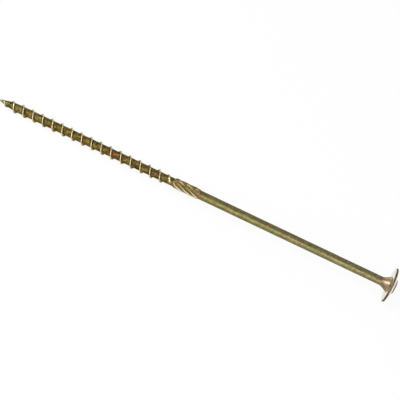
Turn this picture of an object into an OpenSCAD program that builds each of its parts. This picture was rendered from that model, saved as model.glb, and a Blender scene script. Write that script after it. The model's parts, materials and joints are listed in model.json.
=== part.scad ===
// A long timber screw with a wide washer head, lying on a flat surface as it comes to rest.
// It is one piece of steel: forged head and neck, smooth shank, rolled cutter ribs, thread and point.
// The origin is the centre of the washer's underside. The tip lies towards -X, and dips to the surface.

/* [Screw] */
// Length from the washer's underside to the tip
screw_length = 280; // [200:5:400]

/* [Washer head] */
// Diameter of the washer
washer_d = 23.5; // [18:0.5:30]
// Thickness of the washer at its round rim
rim_t = 1.6; // [1:0.1:2.4]
// Diameter of the flat crown round the drive recess
crown_d = 9.2; // [8.4:0.1:12]
// Height of the crown above the washer's underside
crown_h = 4.2; // [3.4:0.1:6]

/* [Drive recess] */
// Width of the six-lobe recess over two opposite lobes
drive_w = 6.75; // [6.3:0.05:7.4]
// Width of the recess between two opposite hollows
drive_hollow_w = 4.85; // [4.5:0.05:5.2]
// Radius of the round end of a lobe
drive_lobe_r = 0.55; // [0.45:0.01:0.65]
// Depth of the straight walls of the recess
drive_depth = 3.4; // [2:0.1:4.5]
// Depth of the cone that closes the recess
drive_cone_depth = 0.8; // [0.4:0.1:1.2]

/* [Neck and shank] */
// Diameter of the neck where it meets the washer
neck_d = 10.6; // [8.5:0.1:13]
// Length of the flare from the shank to the washer
neck_length = 5.4; // [3:0.1:10]
// Hollowness of the flare, where 1 is a straight cone
neck_curve = 1.25; // [1:0.05:2]
// Diameter of the smooth shank
shank_d = 5.8; // [5.5:0.1:6.4]

/* [Shank cutter] */
// Number of cutter ribs round the shank
cutter_ribs = 6; // [4:1:9]
// Diameter over the ribs
cutter_d = 7; // [6.6:0.1:7.8]
// Length of the ribbed stretch along the axis
cutter_length = 18.5; // [8:0.5:25]
// Distance along the axis in which a rib makes one full turn
cutter_lead = 38; // [25:1:80]
// Length of the slope at each end of a rib
rib_slope = 1.2; // [0.6:0.1:2]
// Turn of the ribs about the axis, in degrees
rib_angle = 19; // [-30:1:30]

/* [Thread] */
// Diameter over the thread
thread_d = 8; // [7.2:0.1:9]
// Diameter of the core between the turns
root_d = 5.4; // [4.8:0.1:5.7]
// Distance from one turn to the next
thread_pitch = 7; // [5:0.5:9]
// Length from the tip to the end of the thread
thread_length = 124; // [60:1:150]
// Length of plain core between the thread and the cutter
plain_length = 2.2; // [2.2:0.1:12]
// Length in which the last turn fades into the core
fade_length = 4; // [3:0.5:12]
// Length of the rounded point
point_length = 15; // [10:0.5:30]
// Width of the ridge at its foot
ridge_foot = 2.6; // [1.9:0.1:3]
// Width of the ridge above its hollow foot
ridge_waist = 1.5; // [0.8:0.1:1.8]
// Height of that hollow foot above the core
ridge_foot_h = 0.4; // [0.2:0.05:0.6]
// Width of the crest
ridge_crest = 0.6; // [0.2:0.05:0.75]

/* [Hidden] */

steel_colour = [0.62, 0.53, 0.28];

washer_r = washer_d / 2;
rim_r = rim_t / 2;
rim_centre_r = washer_r - rim_r;
crown_r = crown_d / 2;
neck_r = neck_d / 2;
shank_r = shank_d / 2;
rib_r = cutter_d / 2;
thread_r = thread_d / 2;
root_r = root_d / 2;
ridge_h = thread_r - root_r;

// Points of a round stretch in a profile
curve_points = 10;
// Points of each arc in the outline of the recess
lobe_points = 6;

// Points round the axis, in equal shares for the ribs
wanted_turn_points = 36;
rib_points = round(wanted_turn_points / cutter_ribs);
turn_points = cutter_ribs * rib_points;
turn_step = 360 / turn_points;
pitch_step = thread_pitch / turn_points;

// Steps of the thread's helix, counted from the tip: one crest point on each
tip_clear = 0.3;
first_step = ceil((ridge_foot / 2 + tip_clear) / pitch_step);
last_step = ceil(thread_length / pitch_step);
lead_in_steps = turn_points / 2;

// The ridge in section: distance along the axis from the crest's middle, and height above the core
ridge_section = [
    [-ridge_foot / 2, 0],
    [-ridge_waist / 2, ridge_foot_h],
    [-ridge_crest / 2, ridge_h],
    [ridge_crest / 2, ridge_h],
    [ridge_waist / 2, ridge_foot_h],
    [ridge_foot / 2, 0],
];
foot_end = len(ridge_section) - 1;

// Places along the axis, measured from the tip
plain_start = last_step * pitch_step + ridge_foot / 2 + tip_clear;
cutter_start = thread_length + plain_length;
cutter_end = cutter_start + cutter_length;
// The rolled end reaches this far into the shank, a hair under its surface
seat_start = 0.4;
seat_length = 1.5;
seat_r = shank_r - 0.02;

// One ring of points every few degrees of the ribs' turn
ring_turn = 12;
rib_run = cutter_length - 2 * rib_slope;
rib_slices = ceil(rib_run / cutter_lead * 360 / ring_turn);
ring_places = concat(
    [plain_start, cutter_start],
    [for (k = [0 : rib_slices]) cutter_start + rib_slope + rib_run * k / rib_slices],
    [cutter_end, cutter_end + seat_length]
);
last_ring = len(ring_places) - 1;

// Steep side, land and gentle side of a rib, as shares of the space from rib to rib
rib_steep = 1 / 6;
rib_land = 1 / 3;
rib_gentle = 1 / 3;

// The slope at which the rim and the lowest crest touch one surface
function lay_for(place) =
    let (
        drop = rim_centre_r - thread_r * point_share(place),
        run = rim_r + screw_length - place
    )
    atan(drop / run) + asin(rim_r / norm([drop, run]));
lay_angle = min([for (k = [1 : floor(thread_length / thread_pitch)]) lay_for(k * thread_pitch)]);

// Share of the full diameter that the point has at a place along the axis
function point_share(place) =
    place >= point_length ? 1 : 1 - pow(1 - place / point_length, 2);

function limited(x) = max(0, min(1, x));

// A point on the screw's surface, with the screw upright and its head up
function on_screw(radius, angle, place) =
    [radius * cos(angle), radius * sin(angle), place - screw_length];

// Share of its full height that the ridge has at a step: it grows from the tip and fades at the end
function ridge_share(step) =
    limited((step - first_step) / lead_in_steps)
    * limited((thread_length - step * pitch_step) / fade_length);

function thread_point(step, column) =
    let (
        place = step * pitch_step + ridge_section[column][0],
        height = ridge_section[column][1] * ridge_share(step)
    )
    on_screw(point_share(place) * (root_r + height), step * turn_step, place);

// Height of a rib across its width, from 0 in the hollow to 1 on the land
function rib_share(across) =
    across < rib_steep ? across / rib_steep
    : limited(1 - (across - rib_steep - rib_land) / rib_gentle);

function ring_point(ring, n) =
    let (
        place = ring_places[ring],
        from_ends = min(place - cutter_start, cutter_end - place),
        height = limited(from_ends / rib_slope) * rib_share((n % rib_points) / rib_points),
        floor_r = root_r + (seat_r - root_r) * limited((place - cutter_end) / rib_slope + 1),
        turn = place < cutter_start ? 0 : rib_angle + 360 * (place - cutter_start) / cutter_lead
    )
    on_screw(
        floor_r + (rib_r - floor_r) * height,
        (first_step + n) * turn_step + turn,
        place
    );

// Numbers of the points: the tip, then the helix step by step, then the rings
function at_helix(step, column) = 1 + (step - first_step) * len(ridge_section) + column;
function at_ring(ring, n) =
    at_helix(last_step + 1, 0) + ring * turn_points + n % turn_points;
function above_step(step) = at_ring(0, step - first_step);

// A four-cornered face as two triangles
function quad(a, b, c, d) = [[a, b, c], [a, c, d]];

// A many-cornered face as triangles from its first corner
function fan(corners) =
    [for (k = [1 : len(corners) - 2]) [corners[0], corners[k], corners[k + 1]]];

function flat_list(lists) = [for (list = lists) for (item = list) item];

ridge_faces = flat_list([
    for (step = [first_step : last_step - 1], column = [0 : foot_end - 1])
        quad(
            at_helix(step, column), at_helix(step, column + 1),
            at_helix(step + 1, column + 1), at_helix(step + 1, column)
        )
]);
core_faces = flat_list([
    for (step = [first_step : last_step - turn_points - 1])
        quad(
            at_helix(step, foot_end), at_helix(step + turn_points, 0),
            at_helix(step + turn_points + 1, 0), at_helix(step + 1, foot_end)
        )
]);
last_turn_faces = flat_list([
    for (step = [last_step - turn_points + 1 : last_step - 1])
        quad(
            at_helix(step, foot_end), above_step(step),
            above_step(step + 1), at_helix(step + 1, foot_end)
        )
]);

// Where the first turn starts at the tip, and where the last one ends under the plain core
tip_faces = concat(
    [
        for (step = [first_step : first_step + turn_points - 2])
            [0, at_helix(step, 0), at_helix(step + 1, 0)]
    ],
    fan(concat(
        [at_helix(first_step + turn_points - 1, 0), at_helix(first_step + turn_points, 0)],
        [for (column = [foot_end : -1 : 0]) at_helix(first_step, column)],
        [0]
    ))
);
end_faces = fan(concat(
    [
        above_step(last_step - turn_points + 1),
        at_helix(last_step - turn_points + 1, foot_end),
        at_helix(last_step - turn_points, foot_end),
    ],
    [for (column = [0 : foot_end]) at_helix(last_step, column)],
    [above_step(last_step)]
));

ring_faces = flat_list([
    for (ring = [0 : last_ring - 1], n = [0 : turn_points - 1])
        quad(
            at_ring(ring, n), at_ring(ring + 1, n),
            at_ring(ring + 1, n + 1), at_ring(ring, n + 1)
        )
]);
cap_face = [for (n = [0 : turn_points - 1]) at_ring(last_ring, n)];

// Point, thread, plain core and cutter ribs
module rolled_end() {
    polyhedron(
        points = concat(
            [on_screw(0, 0, 0)],
            [
                for (step = [first_step : last_step], column = [0 : foot_end])
                    thread_point(step, column)
            ],
            [for (ring = [0 : last_ring], n = [0 : turn_points - 1]) ring_point(ring, n)]
        ),
        faces = concat(
            ridge_faces, core_faces, last_turn_faces, tip_faces, end_faces, ring_faces, [cap_face]
        )
    );
}

// Direction from the rim's centre to where the crown's slope meets the round rim
crown_from_rim = [crown_r - rim_centre_r, crown_h - rim_r];
rim_top_angle =
    atan2(crown_from_rim[1], crown_from_rim[0]) - acos(rim_r / norm(crown_from_rim));

rim_arc = [
    for (k = [0 : curve_points])
        let (angle = rim_top_angle - (rim_top_angle + 90) * k / curve_points)
        [rim_centre_r + rim_r * cos(angle), rim_r + rim_r * sin(angle)]
];
neck_flare = [
    for (k = [curve_points : -1 : 0])
        let (share = k / curve_points)
        [shank_r + (neck_r - shank_r) * pow(share, neck_curve), neck_length * (share - 1)]
];

// Head, neck and smooth shank
module turned_end() {
    shank_bottom = cutter_end + seat_start - screw_length;
    rotate_extrude($fn = 96)
        polygon(concat(
            [[0, crown_h], [crown_r, crown_h]],
            rim_arc,
            neck_flare,
            [[shank_r, shank_bottom], [0, shank_bottom]]
        ));
}

// The recess's outline: round lobes that run smoothly into round hollows
lobe_at = drive_w / 2 - drive_lobe_r;
hollow_half_w = drive_hollow_w / 2;
hollow_r =
    (pow(lobe_at, 2) + pow(hollow_half_w, 2) - pow(drive_lobe_r, 2)
        - 2 * lobe_at * hollow_half_w * cos(30))
    / (2 * (lobe_at * cos(30) + drive_lobe_r - hollow_half_w));
hollow_at = hollow_half_w + hollow_r;
lobe_end_angle = atan2(hollow_at * sin(30), hollow_at * cos(30) - lobe_at);

function turned(point, angle) = [
    point[0] * cos(angle) - point[1] * sin(angle),
    point[0] * sin(angle) + point[1] * cos(angle)
];
lobe_arc = [
    for (k = [0 : lobe_points])
        let (angle = lobe_end_angle * (2 * k / lobe_points - 1))
        [lobe_at + drive_lobe_r * cos(angle), drive_lobe_r * sin(angle)]
];
hollow_arc = [
    for (k = [1 : lobe_points - 1])
        let (angle = 180 + lobe_end_angle + (60 - 2 * lobe_end_angle) * k / lobe_points)
        [hollow_at * cos(30) + hollow_r * cos(angle), hollow_at * sin(30) + hollow_r * sin(angle)]
];
drive_outline = [
    for (lobe = [0 : 5], point = concat(lobe_arc, hollow_arc)) turned(point, 60 * lobe)
];

module drive_recess() {
    recess_clear = 1;
    translate([0, 0, crown_h - drive_depth])
        linear_extrude(height = drive_depth + recess_clear)
            polygon(drive_outline);
    translate([0, 0, crown_h - drive_depth - drive_cone_depth])
        cylinder(h = drive_cone_depth, r1 = 0, r2 = hollow_half_w, $fn = 48);
}

// The whole screw, laid down with its rim and its lowest thread crest on one surface
module washer_head_screw() {
    color(steel_colour)
        rotate([0, 90 - lay_angle, 0])
            union() {
                rolled_end();
                difference() {
                    turned_end();
                    drive_recess();
                }
            }
}

washer_head_screw();
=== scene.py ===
"""The looks of a washer head wood screw: one fine skin over the solid, its plating, and the studio."""

import json
import math

import bmesh
import bpy
from mathutils import Matrix, Vector


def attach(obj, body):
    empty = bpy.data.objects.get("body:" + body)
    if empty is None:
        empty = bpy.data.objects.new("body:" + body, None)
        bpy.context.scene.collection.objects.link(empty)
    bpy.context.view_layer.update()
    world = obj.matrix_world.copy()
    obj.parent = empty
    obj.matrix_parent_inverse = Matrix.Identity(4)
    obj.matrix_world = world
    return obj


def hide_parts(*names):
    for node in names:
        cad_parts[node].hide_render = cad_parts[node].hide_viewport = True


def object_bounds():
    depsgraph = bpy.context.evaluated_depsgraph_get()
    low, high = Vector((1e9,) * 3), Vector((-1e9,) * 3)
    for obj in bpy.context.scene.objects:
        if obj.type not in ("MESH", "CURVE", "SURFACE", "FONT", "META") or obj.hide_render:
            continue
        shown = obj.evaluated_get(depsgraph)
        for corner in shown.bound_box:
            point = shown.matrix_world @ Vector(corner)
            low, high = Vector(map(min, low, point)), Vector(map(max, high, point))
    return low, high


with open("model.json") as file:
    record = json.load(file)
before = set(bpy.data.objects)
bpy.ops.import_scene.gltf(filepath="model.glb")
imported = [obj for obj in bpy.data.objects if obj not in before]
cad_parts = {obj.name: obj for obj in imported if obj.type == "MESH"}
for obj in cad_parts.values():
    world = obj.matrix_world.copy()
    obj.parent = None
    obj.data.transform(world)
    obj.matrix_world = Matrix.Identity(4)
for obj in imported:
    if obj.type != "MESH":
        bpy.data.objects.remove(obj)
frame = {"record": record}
cad_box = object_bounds()

# Units
MM = 0.001
TURN = 2 * math.pi

# Where the screw lies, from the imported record
mounts = {mount["name"]: mount for mount in frame["record"]["mounts"]}
BEARING_CENTRE = Vector(mounts["bearing_face"]["pos_m"])
HEADWARD = -Vector(mounts["bearing_face"]["axis"]).normalized()
SIDEWAYS = Vector((0, 1, 0))
DOWNWARD = SIDEWAYS.cross(HEADWARD)
FLOOR_Z = cad_box[0].z

# Sizes of the head and neck in millimetres, as in the part's source
SCREW_LENGTH = 280
WASHER_R = 11.75
RIM_R = 0.8
CROWN_R = 4.6
CROWN_H = 4.2
NECK_R = 5.3
NECK_LENGTH = 5.4
NECK_CURVE = 1.25
LOBES = 6
DRIVE_R = 3.375
HOLLOW_R = 2.425
LOBE_END_R = 0.55
DRIVE_DEPTH = 3.4
DRIVE_CONE_DEPTH = 0.8

# Sizes of the shank, thread and point in millimetres, as in the record and the part's source
SHANK_R = mounts["smooth_shank"]["dims"]["r_mm"]
THREAD_R = mounts["wood_thread"]["dims"]["r_mm"]
THREAD_LENGTH = mounts["wood_thread"]["dims"]["length_mm"]
ROOT_R = 2.7
PITCH = 7
FADE_LENGTH = 4
LEAD_IN_TURNS = 0.5
POINT_LENGTH = 15
TIP_CLEAR = 0.3
RIDGE_FOOT = 2.6
RIDGE_WAIST = 1.5
RIDGE_FOOT_H = 0.4
RIDGE_CREST = 0.6
RIDGE_H = THREAD_R - ROOT_R
PLAIN_LENGTH = 2.2

# Sizes of the cutter in millimetres, its turn in turns, and a rib's sides as shares of the rib spacing
CUTTER_RIBS = 6
CUTTER_R = 3.5
CUTTER_LENGTH = 18.5
CUTTER_LEAD = 38
RIB_SLOPE = 1.2
RIB_TURN = 19 / 360
RIB_STEEP = 1 / 6
RIB_LAND = 1 / 3
RIB_GENTLE = 1 / 3

# Rounded edges and the crown's low wall in millimetres, which only the fine skin has
FOOT_CURVE_H = 0.6
CREST_EDGE_H = 0.25
CREST_EDGE_RUN = 0.175
NECK_FILLET = 0.5
CROWN_WALL_H = 0.45
CROWN_WALL_RUN = 0.12
CROWN_EDGE = 0.18
MOUTH_EDGE = 0.14

# Rounding of a rib's edges, as a share of the rib spacing
RIB_EDGE = 0.05

# States that the wear and painted light lie between: painted shade, darker and rougher; the plain
# plating; painted highlight, smoother; and a brighter painted highlight
PAINTED_SHADE = -1
PLAIN = 0
PAINTED_HIGHLIGHT = 1
PAINTED_GLARE = 2

# Painted light on the thread: painted shade in the root between the turns and on the plain core, painted
# highlight on the crest and on the flank that faces the tip, and the shares of the ridge's height that
# bound it
ROOT_PAINTED_SHADE = -0.6
CREST_PAINTED_HIGHLIGHT = 1.0
ROOT_SHADE_TO = 0.5
FLANK_HIGHLIGHT_FROM = 0.25
CREST_HIGHLIGHT_FROM = 0.6
RIDGE_LIGHT_FROM = 0.1
PLAIN_CORE_PAINTED_SHADE = -0.35

# Painted light on the ribs: painted highlight on the steep sides up to the land's edge, painted shade in
# the hollows, and the shares of their sides that bound it
HOLLOW_PAINTED_SHADE = -0.25
RIB_EDGE_PAINTED_HIGHLIGHT = 1.6
STEEP_HIGHLIGHT_TO = 2 / 3
LAND_HIGHLIGHT = 2 * RIB_EDGE
GENTLE_SHADE_FROM = 0.5

# Painted light on the head: painted highlight on the neck and its end, painted reflection on the washer's
# faces, painted shade on the rim and the crown's wall, a lighter crown top; the length of the neck's end
# with more painted highlight, and the share of the rim with painted shade
NECK_PAINTED_HIGHLIGHT = 0.1
NECK_END_PAINTED_HIGHLIGHT = 0.45
NECK_END = 1.3
WASHER_PAINTED_REFLECTION = 0.9
RIM_PAINTED_SHADE = -0.35
RIM_BAND = 0.85
CROWN_WALL_PAINTED_SHADE = -0.35
CROWN_TOP_LIGHTER = 0.6

# Fineness of the skin
TURN_POINTS = 120
TIP_ROWS = 8
EDGE_POINTS = 5
RIM_POINTS = 18
RIB_RINGS = 56
SHANK_RING_GAP = 6
FLAT_RINGS = 8
WALL_RINGS = 5
SHARP_ANGLE = math.radians(40)

# Steps of the helix, which is counted in them
STEP_ANGLE = TURN / TURN_POINTS
STEP_LENGTH = PITCH / TURN_POINTS
FIRST_STEP = math.ceil((RIDGE_FOOT / 2 + TIP_CLEAR) / STEP_LENGTH)
LAST_STEP = math.ceil(THREAD_LENGTH / STEP_LENGTH)

# Places along the axis, measured from the tip, and the middle of the washer's round rim
PLAIN_START = LAST_STEP * STEP_LENGTH + RIDGE_FOOT / 2 + TIP_CLEAR
CUTTER_START = THREAD_LENGTH + PLAIN_LENGTH
CUTTER_END = CUTTER_START + CUTTER_LENGTH
NECK_START = SCREW_LENGTH - NECK_LENGTH
RIM_CENTRE_R = WASHER_R - RIM_R


def limited(x):
    """x, held between 0 and 1."""
    return max(0.0, min(1.0, x))


def eased(x):
    """0 to 1 with a level start and end."""
    x = limited(x)
    return x * x * (3 - 2 * x)


def curve(start, bend, end):
    """Points from start to end that leave and arrive along the lines to bend."""
    found = []
    for k in range(EDGE_POINTS + 1):
        t = k / EDGE_POINTS
        found.append(tuple(
            (1 - t) ** 2 * a + 2 * t * (1 - t) * b + t * t * c
            for a, b, c in zip(start, bend, end)
        ))
    return found


class Skin:
    """Points and faces wound round the screw's axis."""

    def __init__(self):
        self.points = []
        self.places = []
        self.wear = []
        self.faces = []

    def point(self, radius, angle, place, wear=PLAIN):
        """Adds a point at a distance from the tip, and gives its number."""
        self.points.append(
            BEARING_CENTRE
            + DOWNWARD * (radius * math.cos(angle) * MM)
            + SIDEWAYS * (radius * math.sin(angle) * MM)
            + HEADWARD * ((place - SCREW_LENGTH) * MM)
        )
        self.places.append(place)
        self.wear.append(wear)
        return len(self.points) - 1

    def quad(self, a, b, c, d):
        """Adds a face with four corners."""
        self.faces.append((a, b, c, d))

    def join(self, left, right):
        """Triangles between two rows of points that both run headward."""
        i = j = 0
        while i < len(left) - 1 or j < len(right) - 1:
            go_left = j == len(right) - 1 or (
                i < len(left) - 1 and self.places[left[i + 1]] < self.places[right[j + 1]]
            )
            corners = (left[i], right[j], left[i + 1] if go_left else right[j + 1])
            if go_left:
                i += 1
            else:
                j += 1
            if len(set(corners)) == 3:
                self.faces.append(corners)

    def ring(self, radius_at, place, turn=0.0, wear_and_light_at=lambda n: PLAIN):
        """A ring of points; radius_at gives the radius from a point's count and angle."""
        numbers = []
        for n in range(TURN_POINTS):
            angle = (FIRST_STEP + n) * STEP_ANGLE + turn * TURN
            numbers.append(self.point(radius_at(n, angle), angle, place, wear_and_light_at(n)))
        return numbers

    def stack(self, rings):
        """Faces between each ring and the next."""
        for low, high in zip(rings, rings[1:]):
            for n in range(TURN_POINTS):
                m = (n + 1) % TURN_POINTS
                self.quad(low[n], low[m], high[m], high[n])

    def cap(self, ring, place):
        """Closes a ring with a cone to a point on the axis."""
        apex = self.point(0, 0, place)
        for n in range(TURN_POINTS):
            self.faces.append((ring[n], ring[(n + 1) % TURN_POINTS], apex))


def point_share(place):
    """Share of the full diameter that the point has at a distance from the tip."""
    if place >= POINT_LENGTH:
        return 1.0
    return 1 - (1 - place / POINT_LENGTH) ** 2


def ridge_share(step):
    """Share of its full height that the ridge has at a step of the helix."""
    lead_in = limited((step - FIRST_STEP) / (TURN_POINTS * LEAD_IN_TURNS))
    fade = limited((THREAD_LENGTH - step * STEP_LENGTH) / FADE_LENGTH)
    return lead_in * fade


def ridge_section():
    """The ridge from foot to foot: distance along the axis from its middle, and height above the core."""
    flank_run = (RIDGE_WAIST - RIDGE_CREST) / 2 / (RIDGE_H - RIDGE_FOOT_H)

    def on_flank(height):
        return (-RIDGE_CREST / 2 - (RIDGE_H - height) * flank_run, height)

    foot = curve((-RIDGE_FOOT / 2, 0), on_flank(0), on_flank(FOOT_CURVE_H))
    crest_corner = (-RIDGE_CREST / 2, RIDGE_H)
    crest_flat = (-RIDGE_CREST / 2 + CREST_EDGE_RUN, RIDGE_H)
    crest = curve(on_flank(RIDGE_H - CREST_EDGE_H), crest_corner, crest_flat)
    half = foot + crest
    return half + [(-offset, height) for offset, height in reversed(half)]


def ridge_wear_and_light(offset, height):
    """Painted light on the thread: painted shade at the root, painted highlight on the crest and on the
    flank that faces the tip.
    """
    level = height / RIDGE_H
    highlight_from = FLANK_HIGHLIGHT_FROM if offset < 0 else CREST_HIGHLIGHT_FROM
    highlight_share = eased((level - highlight_from) / (1 - highlight_from))
    return CREST_PAINTED_HIGHLIGHT * highlight_share + ROOT_PAINTED_SHADE * (1 - eased(level / ROOT_SHADE_TO))


def add_thread(skin):
    """The point and the thread, up to the ring where the plain core starts. Gives that ring."""
    section = ridge_section()
    rows = {}
    for step in range(FIRST_STEP, LAST_STEP + 1):
        share = ridge_share(step)
        row = []
        for offset, height in section:
            place = step * STEP_LENGTH + offset
            radius = point_share(place) * (ROOT_R + height * share)
            wear = ridge_wear_and_light(offset, height) * eased(share / RIDGE_LIGHT_FROM)
            row.append(skin.point(radius, step * STEP_ANGLE, place, wear))
        rows[step] = row

    # The ridge, and the core between its turns
    for step in range(FIRST_STEP, LAST_STEP):
        low = rows[step]
        high = rows[step + 1]
        for column in range(len(section) - 1):
            skin.quad(low[column], low[column + 1], high[column + 1], high[column])
    for step in range(FIRST_STEP, LAST_STEP - TURN_POINTS):
        skin.quad(
            rows[step][-1], rows[step + TURN_POINTS][0],
            rows[step + TURN_POINTS + 1][0], rows[step + 1][-1],
        )

    # The tip, in rows from its apex to the first turn
    apex = skin.point(0, 0, 0)
    spokes = []
    for step in range(FIRST_STEP, FIRST_STEP + TURN_POINTS):
        foot_place = step * STEP_LENGTH + section[0][0]
        spoke = [apex]
        for k in range(1, TIP_ROWS):
            place = foot_place * k / TIP_ROWS
            spoke.append(skin.point(ROOT_R * point_share(place), step * STEP_ANGLE, place))
        spokes.append(spoke + [rows[step][0]])
    for low, high in zip(spokes, spokes[1:]):
        skin.join(low, high)
    skin.join(spokes[-1], spokes[0] + rows[FIRST_STEP][1:] + [rows[FIRST_STEP + TURN_POINTS][0]])

    # The end of the last turn, which runs out into the plain core
    plain_ring = skin.ring(lambda n, angle: ROOT_R, PLAIN_START, wear_and_light_at=lambda n: PLAIN_CORE_PAINTED_SHADE)

    def above(step):
        return plain_ring[(step - FIRST_STEP) % TURN_POINTS]

    before_last = LAST_STEP - TURN_POINTS
    for step in range(before_last + 1, LAST_STEP):
        skin.quad(rows[step][-1], above(step), above(step + 1), rows[step + 1][-1])
    skin.join(
        [rows[before_last][-1]] + rows[LAST_STEP] + [above(LAST_STEP)],
        [rows[before_last + 1][-1], above(before_last + 1)],
    )
    return plain_ring


def plain_core_rings(skin):
    """The short core between the thread and the ribs."""
    rings = []
    for k in range(1, FLAT_RINGS):
        place = PLAIN_START + (CUTTER_START - PLAIN_START) * k / FLAT_RINGS
        rings.append(skin.ring(
            lambda n, angle: ROOT_R, place, cutter_turn(place), lambda n: PLAIN_CORE_PAINTED_SHADE,
        ))
    return rings


def rib_share(across):
    """Height of a rib at a share of the space from rib to rib: 0 in the hollow, 1 on the land."""
    across %= 1
    if across < RIB_STEEP:
        return across / RIB_STEEP
    return limited(1 - (across - RIB_STEEP - RIB_LAND) / RIB_GENTLE)


def rounded_rib_share(across):
    """Height of a rib with rounded edges: the mean of the height there and on both sides."""
    samples = (across - RIB_EDGE, across, across + RIB_EDGE)
    return sum(rib_share(sample) for sample in samples) / len(samples)


def rib_wear_and_light(across):
    """Painted light on a rib: painted highlight on its steep side, up to the edge of the land, and
    painted shade in the hollow.
    """
    across %= 1
    past_steep = across - RIB_STEEP
    if past_steep < 0:
        highlight_share = eased(across / (RIB_STEEP * STEEP_HIGHLIGHT_TO))
        return HOLLOW_PAINTED_SHADE + (RIB_EDGE_PAINTED_HIGHLIGHT - HOLLOW_PAINTED_SHADE) * highlight_share
    if past_steep < RIB_LAND:
        return RIB_EDGE_PAINTED_HIGHLIGHT * eased(1 - past_steep / LAND_HIGHLIGHT)
    return HOLLOW_PAINTED_SHADE * eased((past_steep - RIB_LAND) / (RIB_GENTLE * GENTLE_SHADE_FROM))


def cutter_turn(place):
    """Turn of the ribs at a place. Before them it grows from none, so the rings meet the thread's."""
    if place < CUTTER_START:
        return RIB_TURN * (place - PLAIN_START) / (CUTTER_START - PLAIN_START)
    return RIB_TURN + (min(place, CUTTER_END) - CUTTER_START) / CUTTER_LEAD


def cutter_rings(skin):
    """The twisted ribs between the plain core and the shank."""
    rib_points = TURN_POINTS // CUTTER_RIBS
    rings = []
    for k in range(RIB_RINGS + 1):
        place = CUTTER_START + CUTTER_LENGTH * k / RIB_RINGS
        from_ends = min(place - CUTTER_START, CUTTER_END - place)
        height = eased(from_ends / RIB_SLOPE)
        floor_r = ROOT_R + (SHANK_R - ROOT_R) * eased((place - CUTTER_END) / RIB_SLOPE + 1)

        def radius_at(n, angle):
            return floor_r + (CUTTER_R - floor_r) * height * rounded_rib_share(n / rib_points)

        def wear_and_light_at(n):
            return height * rib_wear_and_light(n / rib_points)

        rings.append(skin.ring(radius_at, place, cutter_turn(place), wear_and_light_at))
    return rings


def neck_profile():
    """Radius, and height over the washer's underside, of the shank, the neck and its fillet."""
    points = []
    shank_rings = round((NECK_START - CUTTER_END) / SHANK_RING_GAP)
    for k in range(1, shank_rings):
        place = CUTTER_END + (NECK_START - CUTTER_END) * k / shank_rings
        points.append((SHANK_R, place - SCREW_LENGTH))

    def flare(share):
        return (SHANK_R + (NECK_R - SHANK_R) * share ** NECK_CURVE, NECK_LENGTH * (share - 1))

    fillet_share = 1 - NECK_FILLET / NECK_LENGTH
    points += [flare(fillet_share * k / RIM_POINTS) for k in range(RIM_POINTS)]
    return points + curve(flare(fillet_share), (NECK_R, 0), (NECK_R + NECK_FILLET, 0))


def washer_profile():
    """Radius, and height over the washer's underside, of the washer and the crown's wall."""
    underside_start = NECK_R + NECK_FILLET
    underside = RIM_CENTRE_R - underside_start
    points = [(underside_start + underside * k / FLAT_RINGS, 0) for k in range(1, FLAT_RINGS)]

    # The rim, up to where the line to the foot of the crown's wall touches it
    wall_foot = (CROWN_R + CROWN_WALL_RUN, CROWN_H - CROWN_WALL_H)
    crown_way = (wall_foot[0] - RIM_CENTRE_R, wall_foot[1] - RIM_R)
    rim_top = math.atan2(crown_way[1], crown_way[0]) - math.acos(RIM_R / math.hypot(*crown_way))
    for k in range(RIM_POINTS + 1):
        angle = -TURN / 4 + (rim_top + TURN / 4) * k / RIM_POINTS
        points.append((RIM_CENTRE_R + RIM_R * math.cos(angle), RIM_R + RIM_R * math.sin(angle)))

    # The slope, and the wall with its rounded foot and edge
    rim_end = points[-1]
    slope = (wall_foot[0] - rim_end[0], wall_foot[1] - rim_end[1])
    foot_share = 1 - CROWN_EDGE / math.hypot(*slope)

    def on_slope(share):
        return (rim_end[0] + slope[0] * share, rim_end[1] + slope[1] * share)

    def on_wall(height):
        return (CROWN_R + CROWN_WALL_RUN * (CROWN_H - height) / CROWN_WALL_H, height)

    points += [on_slope(foot_share * k / FLAT_RINGS) for k in range(1, FLAT_RINGS)]
    points += curve(on_slope(foot_share), wall_foot, on_wall(wall_foot[1] + CROWN_EDGE))
    crown_corner = (CROWN_R, CROWN_H)
    crown_flat = (CROWN_R - CROWN_EDGE, CROWN_H)
    return points + curve(on_wall(CROWN_H - CROWN_EDGE), crown_corner, crown_flat)


def head_wear_and_light(radius, height):
    """Painted light on the neck and head: painted highlight on the neck, painted reflection on the
    washer's faces, painted shade on its rim and the crown's wall.
    """
    if height < 0:
        neck = NECK_PAINTED_HIGHLIGHT * eased(1 + height / NECK_LENGTH)
        return neck + (NECK_END_PAINTED_HIGHLIGHT - neck) * eased(1 + height / NECK_END)
    if radius > RIM_CENTRE_R and abs(height - RIM_R) < RIM_BAND * RIM_R:
        return RIM_PAINTED_SHADE
    if height > CROWN_H - CROWN_WALL_H:
        return CROWN_WALL_PAINTED_SHADE
    return WASHER_PAINTED_REFLECTION


def head_rings(skin, turn):
    """The smooth shank, the neck, the washer and the crown's wall."""
    rings = []
    for radius, height in neck_profile() + washer_profile():
        wear = head_wear_and_light(radius, height)
        rings.append(skin.ring(lambda n, angle: radius, SCREW_LENGTH + height, turn, lambda n: wear))
    return rings


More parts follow.
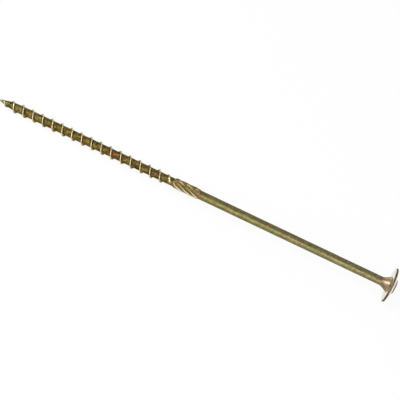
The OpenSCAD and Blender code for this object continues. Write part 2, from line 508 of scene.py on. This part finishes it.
def drive_radius(angle):
    """Radius of the six-lobe outline at an angle: round lobes that run smoothly into round hollows."""
    half_lobe = TURN / LOBES / 2
    lobe_at = DRIVE_R - LOBE_END_R
    across = math.cos(half_lobe)
    hollow_r = (
        (lobe_at ** 2 + HOLLOW_R ** 2 - LOBE_END_R ** 2 - 2 * lobe_at * HOLLOW_R * across)
        / (2 * (lobe_at * across + LOBE_END_R - HOLLOW_R))
    )
    hollow_at = HOLLOW_R + hollow_r
    from_lobe = abs((angle + half_lobe) % (2 * half_lobe) - half_lobe)
    from_hollow = half_lobe - from_lobe
    touch_share = LOBE_END_R / (LOBE_END_R + hollow_r)
    touch_x = lobe_at + (hollow_at * across - lobe_at) * touch_share
    touch_y = hollow_at * math.sin(half_lobe) * touch_share
    if from_lobe < math.atan2(touch_y, touch_x):
        side = lobe_at * math.sin(from_lobe)
        return lobe_at * math.cos(from_lobe) + math.sqrt(LOBE_END_R ** 2 - side ** 2)
    side = hollow_at * math.sin(from_hollow)
    return hollow_at * math.cos(from_hollow) - math.sqrt(hollow_r ** 2 - side ** 2)


def recess_rings(skin, turn):
    """The crown's flat, the mouth of the recess, its walls and the rim of its floor."""
    crown_r = CROWN_R - CROWN_EDGE
    rings = []

    def add_ring(radius_at, down, wear):
        place = SCREW_LENGTH + CROWN_H - down
        rings.append(skin.ring(lambda n, angle: radius_at(angle), place, turn, lambda n: wear))

    for k in range(1, FLAT_RINGS):
        share = k / FLAT_RINGS
        add_ring(
            lambda angle: crown_r + (drive_radius(angle) + MOUTH_EDGE - crown_r) * share,
            0, CROWN_TOP_LIGHTER,
        )
    for out, down in curve((MOUTH_EDGE, 0), (0, 0), (0, MOUTH_EDGE)):
        add_ring(lambda angle: drive_radius(angle) + out, down, CROWN_TOP_LIGHTER)
    for k in range(1, WALL_RINGS + 1):
        add_ring(drive_radius, MOUTH_EDGE + (DRIVE_DEPTH - MOUTH_EDGE) * k / WALL_RINGS, PLAIN)
    add_ring(lambda angle: HOLLOW_R - MOUTH_EDGE, DRIVE_DEPTH, PLAIN)
    return rings


def screw_mesh():
    """The whole screw as one closed mesh."""
    skin = Skin()
    shank_turn = cutter_turn(CUTTER_END)
    rings = [add_thread(skin)]
    rings += plain_core_rings(skin)
    rings += cutter_rings(skin)
    rings += head_rings(skin, shank_turn)
    rings += recess_rings(skin, shank_turn)
    skin.stack(rings)
    skin.cap(rings[-1], SCREW_LENGTH + CROWN_H - DRIVE_DEPTH - DRIVE_CONE_DEPTH)

    mesh = bpy.data.meshes.new("washer_head_screw_skin")
    mesh.from_pydata(skin.points, [], skin.faces)
    shape = bmesh.new()
    shape.from_mesh(mesh)
    bmesh.ops.recalc_face_normals(shape, faces=shape.faces)
    shape.to_mesh(mesh)
    shape.free()

    # A clear film lies on the head's faces with painted highlight, and nowhere else
    film = [float(place >= SCREW_LENGTH and wear > PLAIN) for place, wear in zip(skin.places, skin.wear)]
    mesh.attributes.new("wear", "FLOAT", "POINT").data.foreach_set("value", skin.wear)
    mesh.attributes.new("film", "FLOAT", "POINT").data.foreach_set("value", film)
    for face in mesh.polygons:
        face.use_smooth = True
    mesh.set_sharp_from_angle(angle=SHARP_ANGLE)
    return mesh


# The part of a noise's range in which most of it lies, and its roughness
NOISE_LOW = 0.3
NOISE_HIGH = 0.7
NOISE_ROUGHNESS = 0.55


class Nodes:
    """Short calls to add and link the nodes of one tree."""

    # Numbers of the mix node's sockets for colours
    MIX_SHARE = 0
    MIX_A = 6
    MIX_B = 7
    MIX_RESULT = 2

    def __init__(self, tree):
        self.tree = tree
        tree.nodes.clear()

    def add(self, kind, inputs=None, **settings):
        """Adds a node. An input is a plain value, or a socket to link from."""
        node = self.tree.nodes.new(kind)
        for name, value in settings.items():
            setattr(node, name, value)
        for key, value in (inputs or {}).items():
            socket = node.inputs[key]
            if isinstance(value, bpy.types.NodeSocket):
                self.tree.links.new(value, socket)
            else:
                socket.default_value = value
        return node

    def attribute(self, name):
        """A value that the mesh holds for each of its points."""
        return self.add("ShaderNodeAttribute", attribute_name=name).outputs["Fac"]

    def noise(self, vector, scale, detail=3.0):
        """A smooth random value; scale is its rough number of waves to the metre."""
        inputs = {"Vector": vector, "Scale": scale, "Detail": detail, "Roughness": NOISE_ROUGHNESS}
        return self.add("ShaderNodeTexNoise", inputs).outputs["Fac"]

    def stretched(self, vector, scale):
        """A place, multiplied by a scale along each axis."""
        return self.add("ShaderNodeMapping", {"Vector": vector, "Scale": scale}).outputs["Vector"]

    def remap(self, value, low, high, to_low=0.0, to_high=1.0, interpolation="LINEAR"):
        """Takes a value from one range to another, and holds it there."""
        inputs = {"Value": value, "From Min": low, "From Max": high, "To Min": to_low, "To Max": to_high}
        return self.add("ShaderNodeMapRange", inputs, interpolation_type=interpolation).outputs["Result"]

    def spread(self, noise, to_low, to_high):
        """Takes a noise smoothly to a range of values."""
        return self.remap(noise, NOISE_LOW, NOISE_HIGH, to_low, to_high, "SMOOTHSTEP")

    def ramp(self, value, stops):
        """A colour from a list of stops, each a share from 0 to 1 and a colour."""
        node = self.add("ShaderNodeValToRGB", {"Fac": value})
        elements = node.color_ramp.elements
        while len(elements) < len(stops):
            elements.new(1.0)
        for element, (share, colour) in zip(elements, stops):
            element.position = share
            element.color = (*colour, 1)
        return node.outputs["Color"]

    def math(self, operation, a, b):
        """A sum, product or the like of two values."""
        return self.add("ShaderNodeMath", {0: a, 1: b}, operation=operation).outputs["Value"]

    def mix(self, share, a, b, blend="MIX"):
        """A mix of two colours, from a at a share of 0 to b at 1."""
        inputs = {self.MIX_SHARE: share, self.MIX_A: a, self.MIX_B: b}
        node = self.add("ShaderNodeMix", inputs, data_type="RGBA", blend_type=blend)
        return node.outputs[self.MIX_RESULT]


# Tints of the plating in linear light, and the places along the screw where each is pure
TIP_TINT = (0.200, 0.178, 0.060)
# The thread's tints are browner and a little darker than the shank's: partly the plating's own tone,
# partly painted shade of the thread's grooves
THREAD_TINT = (0.208, 0.149, 0.037)
THREAD_END_TINT = (0.216, 0.153, 0.049)
CUTTER_TINT = (0.214, 0.150, 0.060)
SHANK_TINT = (0.208, 0.180, 0.069)
SHANK_END_TINT = (0.226, 0.200, 0.098)
NECK_TINT = (0.259, 0.175, 0.112)
RIM_TINT = (0.165, 0.170, 0.114)
TIP_FADE = 40
TINT_CHANGE = 6
TINTS = (
    (0, TIP_TINT),
    (TIP_FADE, THREAD_TINT),
    (THREAD_LENGTH - TINT_CHANGE, THREAD_END_TINT),
    (CUTTER_END, CUTTER_TINT),
    (CUTTER_END + TINT_CHANGE, SHANK_TINT),
    (NECK_START - TINT_CHANGE, SHANK_END_TINT),
    (NECK_START + NECK_LENGTH / 2, NECK_TINT),
    (SCREW_LENGTH, NECK_TINT),
    (SCREW_LENGTH + RIM_R, RIM_TINT),
)

# Colours of the painted highlight and of the brighter painted highlight, the gloss seen at a flat angle,
# and the patchiness of the painted highlight
EVEN = (1, 1, 1, 1)
HIGHLIGHT_ZINC = (0.74, 0.60, 0.38, 1)
GLARE_ZINC = (0.86, 0.79, 0.64, 1)
PLAIN_EDGE = (0.50, 0.46, 0.34, 1)
HIGHLIGHT_PATCH_SCALE = 450
LEAST_HIGHLIGHT = 0.65

# Clouds in the tint, and the depth of painted shade at which they and the mottling are strongest
PINK_BROWN = (1.06, 0.79, 0.86, 1)
PINK_SCALE = 150
PINK_RANGE = (0.45, 0.66)
PALE_GREEN = (0.72, 1.08, 0.70, 1)
GREEN_SCALE = 210
GREEN_STRETCH = (1, 1.6, 1.6)
GREEN_RANGE = (0.50, 0.70)
SHADE_IN_FULL = -0.5
SHADED_CLOUDS = 1
PLAIN_CLOUDS = 0.42

# Drawing lines along the wire, blotches and fine grain, and how far each lightens and darkens the colour
LINE_STRETCH = (90, 1500, 1500)
LINE_DETAIL = 4.0
LINE_SHADE = 0.10
BLOTCH_SCALE = 620
BLOTCH_SHADE = 0.20
GRAIN_SCALE = 2600
GRAIN_DETAIL = 2.0
GRAIN_SHADE = 0.12
# Strength of the mottling where the painted shade is deepest and on plain plating, and the share of the
# colour that the deepest painted shade leaves
SHADED_MOTTLING = 3.0
PLAIN_MOTTLING = 1.25
PAINTED_SHADE_SHARE = 0.35

# Roughness of the plating, and the depth of its waves and fine marks
GLOSS_SCALE = 380
GLOSS_DETAIL = 4.0
LEAST_ROUGH = 0.25
MOST_ROUGH = 0.40
DULL_ROUGH = 0.2
RUBBED_SMOOTH = 0.18
FILM_ROUGH = 0.2
WAVE_DEPTH = 0.14 * MM
WAVE_STRENGTH = 1.0
MARK_DEPTH = 0.02 * MM
MARK_STRENGTH = 0.3
LINE_HEIGHT = 0.7
GRAIN_HEIGHT = 0.3


def tint_along(nodes, spot):
    """The tint of each stretch of the screw, as it was worked."""
    tip_x = cad_box[0].x
    head_x = cad_box[1].x
    stops = []
    for place, colour in TINTS:
        x = BEARING_CENTRE.x + HEADWARD.x * (place - SCREW_LENGTH) * MM
        stops.append(((x - tip_x) / (head_x - tip_x), colour))
    along = nodes.add("ShaderNodeSeparateXYZ", {"Vector": spot}).outputs["X"]
    return nodes.ramp(nodes.remap(along, tip_x, head_x), stops)


def clouded(nodes, tint, spot, wear):
    """The tint with clouds of pink and green, which are stronger where there is painted shade."""
    pink_noise = nodes.noise(spot, PINK_SCALE)
    green_noise = nodes.noise(nodes.stretched(spot, GREEN_STRETCH), GREEN_SCALE)
    pinks = nodes.remap(pink_noise, *PINK_RANGE, interpolation="SMOOTHSTEP")
    greens = nodes.remap(green_noise, *GREEN_RANGE, interpolation="SMOOTHSTEP")
    cloud = nodes.mix(greens, nodes.mix(pinks, EVEN, PINK_BROWN), PALE_GREEN)
    strength = nodes.remap(wear, SHADE_IN_FULL, PLAIN, SHADED_CLOUDS, PLAIN_CLOUDS)
    return nodes.mix(strength, tint, nodes.mix(1.0, tint, cloud, "MULTIPLY"))


def shaded(nodes, tint, wear, lines, blotches, grain):
    """The tint with the light and dark of lines, blotches and grain, and darkened by painted shade in the
    shaded places.
    """
    mottling = nodes.math(
        "ADD",
        nodes.spread(blotches, -BLOTCH_SHADE, BLOTCH_SHADE),
        nodes.spread(grain, -GRAIN_SHADE, GRAIN_SHADE),
    )
    strength = nodes.remap(wear, SHADE_IN_FULL, PLAIN, SHADED_MOTTLING, PLAIN_MOTTLING)
    mottling = nodes.math("MULTIPLY", mottling, strength)
    shade = nodes.math("ADD", nodes.spread(lines, 1 - LINE_SHADE, 1 + LINE_SHADE), mottling)
    shade = nodes.math("MULTIPLY", shade, nodes.remap(wear, PAINTED_SHADE, PLAIN, PAINTED_SHADE_SHARE, 1))
    grey = nodes.add("ShaderNodeCombineColor", {"Red": shade, "Green": shade, "Blue": shade})
    return nodes.mix(1.0, tint, grey.outputs["Color"], "MULTIPLY")


def plating_roughness(nodes, spot, wear, highlight_share):
    """Uneven gloss: rougher where there is painted shade, smoother where there is painted highlight."""
    uneven = nodes.spread(nodes.noise(spot, GLOSS_SCALE, GLOSS_DETAIL), LEAST_ROUGH, MOST_ROUGH)
    rough = nodes.remap(wear, PAINTED_SHADE, PLAIN, DULL_ROUGH, 0)
    smooth = nodes.math("MULTIPLY", highlight_share, RUBBED_SMOOTH)
    return nodes.math("ADD", uneven, nodes.math("SUBTRACT", rough, smooth))


def plating_bump(nodes, lines, blotches, grain):
    """Low waves under the blotches, with the fine marks of lines and grain on them."""
    waves = nodes.add("ShaderNodeBump", {
        "Strength": WAVE_STRENGTH,
        "Distance": WAVE_DEPTH,
        "Height": blotches,
    })
    marks = nodes.math(
        "ADD",
        nodes.math("MULTIPLY", lines, LINE_HEIGHT),
        nodes.math("MULTIPLY", grain, GRAIN_HEIGHT),
    )
    bump = nodes.add("ShaderNodeBump", {
        "Strength": MARK_STRENGTH,
        "Distance": MARK_DEPTH,
        "Height": marks,
        "Normal": waves.outputs["Normal"],
    })
    return bump.outputs["Normal"]


def plating_material():
    """Yellow passivated zinc: satin metal with cloudy tints and drawing lines, painted highlight on edges
    and faces, and painted shade in hollows.
    """
    material = bpy.data.materials.new("yellow_zinc_plating")
    material.use_nodes = True
    nodes = Nodes(material.node_tree)
    spot = nodes.add("ShaderNodeTexCoord").outputs["Object"]
    wear = nodes.attribute("wear")
    film = nodes.attribute("film")
    # Shares of painted highlight, made patchy, and of the brighter painted highlight
    uneven = nodes.spread(nodes.noise(spot, HIGHLIGHT_PATCH_SCALE), LEAST_HIGHLIGHT, 1.0)
    highlight_share = nodes.math("MULTIPLY", nodes.remap(wear, PLAIN, PAINTED_HIGHLIGHT), uneven)
    glare_share = nodes.remap(wear, PAINTED_HIGHLIGHT, PAINTED_GLARE)
    lines = nodes.noise(nodes.stretched(spot, LINE_STRETCH), 1.0, LINE_DETAIL)
    blotches = nodes.noise(spot, BLOTCH_SCALE)
    grain = nodes.noise(spot, GRAIN_SCALE, GRAIN_DETAIL)

    colour = clouded(nodes, tint_along(nodes, spot), spot, wear)
    colour = shaded(nodes, colour, wear, lines, blotches, grain)
    # Painted highlight over the tint, then the brighter painted highlight
    colour = nodes.mix(highlight_share, colour, HIGHLIGHT_ZINC)
    colour = nodes.mix(glare_share, colour, GLARE_ZINC)
    edge_tint = nodes.mix(nodes.math("MAXIMUM", highlight_share, film), PLAIN_EDGE, EVEN)
    shader = nodes.add("ShaderNodeBsdfPrincipled", {
        "Base Color": colour,
        "Metallic": 1.0,
        "Roughness": plating_roughness(nodes, spot, wear, highlight_share),
        "Specular Tint": edge_tint,
        "Coat Weight": film,
        "Coat Roughness": FILM_ROUGH,
        "Normal": plating_bump(nodes, lines, blotches, grain),
    })
    nodes.add("ShaderNodeOutputMaterial", {"Surface": shader.outputs["BSDF"]})
    return material


# The floor, half its width in metres, and the share of it that is plain white to the eye
FLOOR_HALF = 20.0
FLOOR_GREY = (0.86, 0.86, 0.86, 1)
FLOOR_WHITE = (1, 1, 1, 1)
WHITE_SHARE = 0.9


def background_rays(nodes):
    """1 for the rays that see the background as it is: from the camera, and from metal and glass."""
    path = nodes.add("ShaderNodeLightPath").outputs
    seen = nodes.math("MAXIMUM", path["Is Camera Ray"], path["Is Glossy Ray"])
    return nodes.math("MAXIMUM", seen, path["Is Transmission Ray"])


def floor_material():
    """White to the eye, with a trace of the shade that falls on it."""
    material = bpy.data.materials.new("pale_floor")
    material.use_nodes = True
    nodes = Nodes(material.node_tree)
    matt = nodes.add("ShaderNodeBsdfDiffuse", {"Color": FLOOR_GREY})
    white = nodes.add("ShaderNodeEmission", {"Color": FLOOR_WHITE, "Strength": 1.0})
    share = nodes.math("MULTIPLY", background_rays(nodes), WHITE_SHARE)
    mixed = nodes.add("ShaderNodeMixShader", {0: share, 1: matt.outputs[0], 2: white.outputs[0]})
    nodes.add("ShaderNodeOutputMaterial", {"Surface": mixed.outputs[0]})
    return material


def add_floor():
    """A wide floor that the screw lies on."""
    sides = ((-1, -1), (1, -1), (1, 1), (-1, 1))
    corners = [(x * FLOOR_HALF, y * FLOOR_HALF, FLOOR_Z) for x, y in sides]
    mesh = bpy.data.meshes.new("floor")
    mesh.from_pydata(corners, [], [(0, 1, 2, 3)])
    mesh.materials.append(floor_material())
    floor = bpy.data.objects.new("floor", mesh)
    bpy.context.scene.collection.objects.link(floor)


# The studio's even light, and its lamps: places and sizes in metres, and the brightness of their faces
SKY_COLOUR = (0.97, 0.98, 1.0, 1)
SKY_STRENGTH = 0.62
KEY_ELEVATION = math.radians(28)
KEY_DISTANCE = 1.4
KEY_SIZE = (2.4, 1.4)
KEY_RADIANCE = 1.4
TIP_LAMP_PLACE = Vector((-0.68, -0.21, 0.64))
TIP_LAMP_SIZE = (0.5, 0.5)
TIP_LAMP_RADIANCE = 4.8
BACK_LAMP_PLACE = Vector((-1.15, 2.6, 0.9))
BACK_LAMP_SIZE = (1.0, 1.6)
BACK_LAMP_RADIANCE = 1.9


def add_world():
    """Even light from all sides."""
    world = bpy.data.worlds.new("studio")
    world.use_nodes = True
    nodes = Nodes(world.node_tree)
    glow = nodes.add("ShaderNodeBackground", {"Color": SKY_COLOUR, "Strength": SKY_STRENGTH})
    nodes.add("ShaderNodeOutputWorld", {"Surface": glow.outputs[0]})
    bpy.context.scene.world = world


def add_softbox(name, place, target, size, radiance):
    """A soft lamp at a place, turned to its target, as bright as a surface of that radiance."""
    width, height = size
    lamp = bpy.data.lights.new(name, "AREA")
    lamp.shape = "RECTANGLE"
    lamp.size = width
    lamp.size_y = height
    lamp.energy = radiance * math.pi * width * height
    softbox = bpy.data.objects.new(name, lamp)
    bpy.context.scene.collection.objects.link(softbox)
    softbox.location = place
    softbox.rotation_euler = (place - target).to_track_quat("Z", "Y").to_euler()


def add_lamps():
    """A wide key light in front, a small lamp on the tip's side, and one behind that faces the head."""
    middle = Vector(((cad_box[0].x + cad_box[1].x) / 2, 0, 0))
    key_way = Vector((0, -math.cos(KEY_ELEVATION), math.sin(KEY_ELEVATION)))
    add_softbox("key_softbox", middle + key_way * KEY_DISTANCE, middle, KEY_SIZE, KEY_RADIANCE)
    add_softbox("tip_side_lamp", TIP_LAMP_PLACE, middle, TIP_LAMP_SIZE, TIP_LAMP_RADIANCE)
    add_softbox("back_lamp", BACK_LAMP_PLACE, BEARING_CENTRE, BACK_LAMP_SIZE, BACK_LAMP_RADIANCE)


# The camera, which looks square at the X axis from in front and above, and is rolled as the photograph is
CAMERA_LENS = 117
CAMERA_SENSOR = 36
CAMERA_ELEVATION = math.radians(50)
CAMERA_ROLL = math.radians(26.473)
CAMERA_DISTANCE = 839.46 * MM
CAMERA_NEAREST = 0.01
CAMERA_FARTHEST = 100
AIM_ALONG = -133.46 * MM
AIM_ACROSS = -5.51 * MM


def add_camera():
    """The camera at the photograph's viewing angle."""
    right = Vector((1, 0, 0))
    up = Vector((0, math.sin(CAMERA_ELEVATION), math.cos(CAMERA_ELEVATION)))
    back = right.cross(up)
    aim = right * AIM_ALONG + up * AIM_ACROSS
    rolled_right = right * math.cos(CAMERA_ROLL) + up * math.sin(CAMERA_ROLL)
    rolled_up = up * math.cos(CAMERA_ROLL) - right * math.sin(CAMERA_ROLL)
    turn = Matrix((rolled_right, rolled_up, back)).transposed().to_4x4()
    lens = bpy.data.cameras.new("camera")
    lens.sensor_width = CAMERA_SENSOR
    lens.lens = CAMERA_LENS
    lens.clip_start = CAMERA_NEAREST
    lens.clip_end = CAMERA_FARTHEST
    camera = bpy.data.objects.new("camera", lens)
    camera.matrix_world = Matrix.Translation(aim + back * CAMERA_DISTANCE) @ turn
    bpy.context.scene.collection.objects.link(camera)
    bpy.context.scene.camera = camera


screw = bpy.data.objects.new("washer_head_screw_skin", screw_mesh())
screw.data.materials.append(plating_material())
bpy.context.scene.collection.objects.link(screw)
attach(screw, "root")
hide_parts("washer_head_screw")

add_floor()
add_world()
add_lamps()
add_camera()
bpy.context.scene.view_settings.view_transform = "Standard"
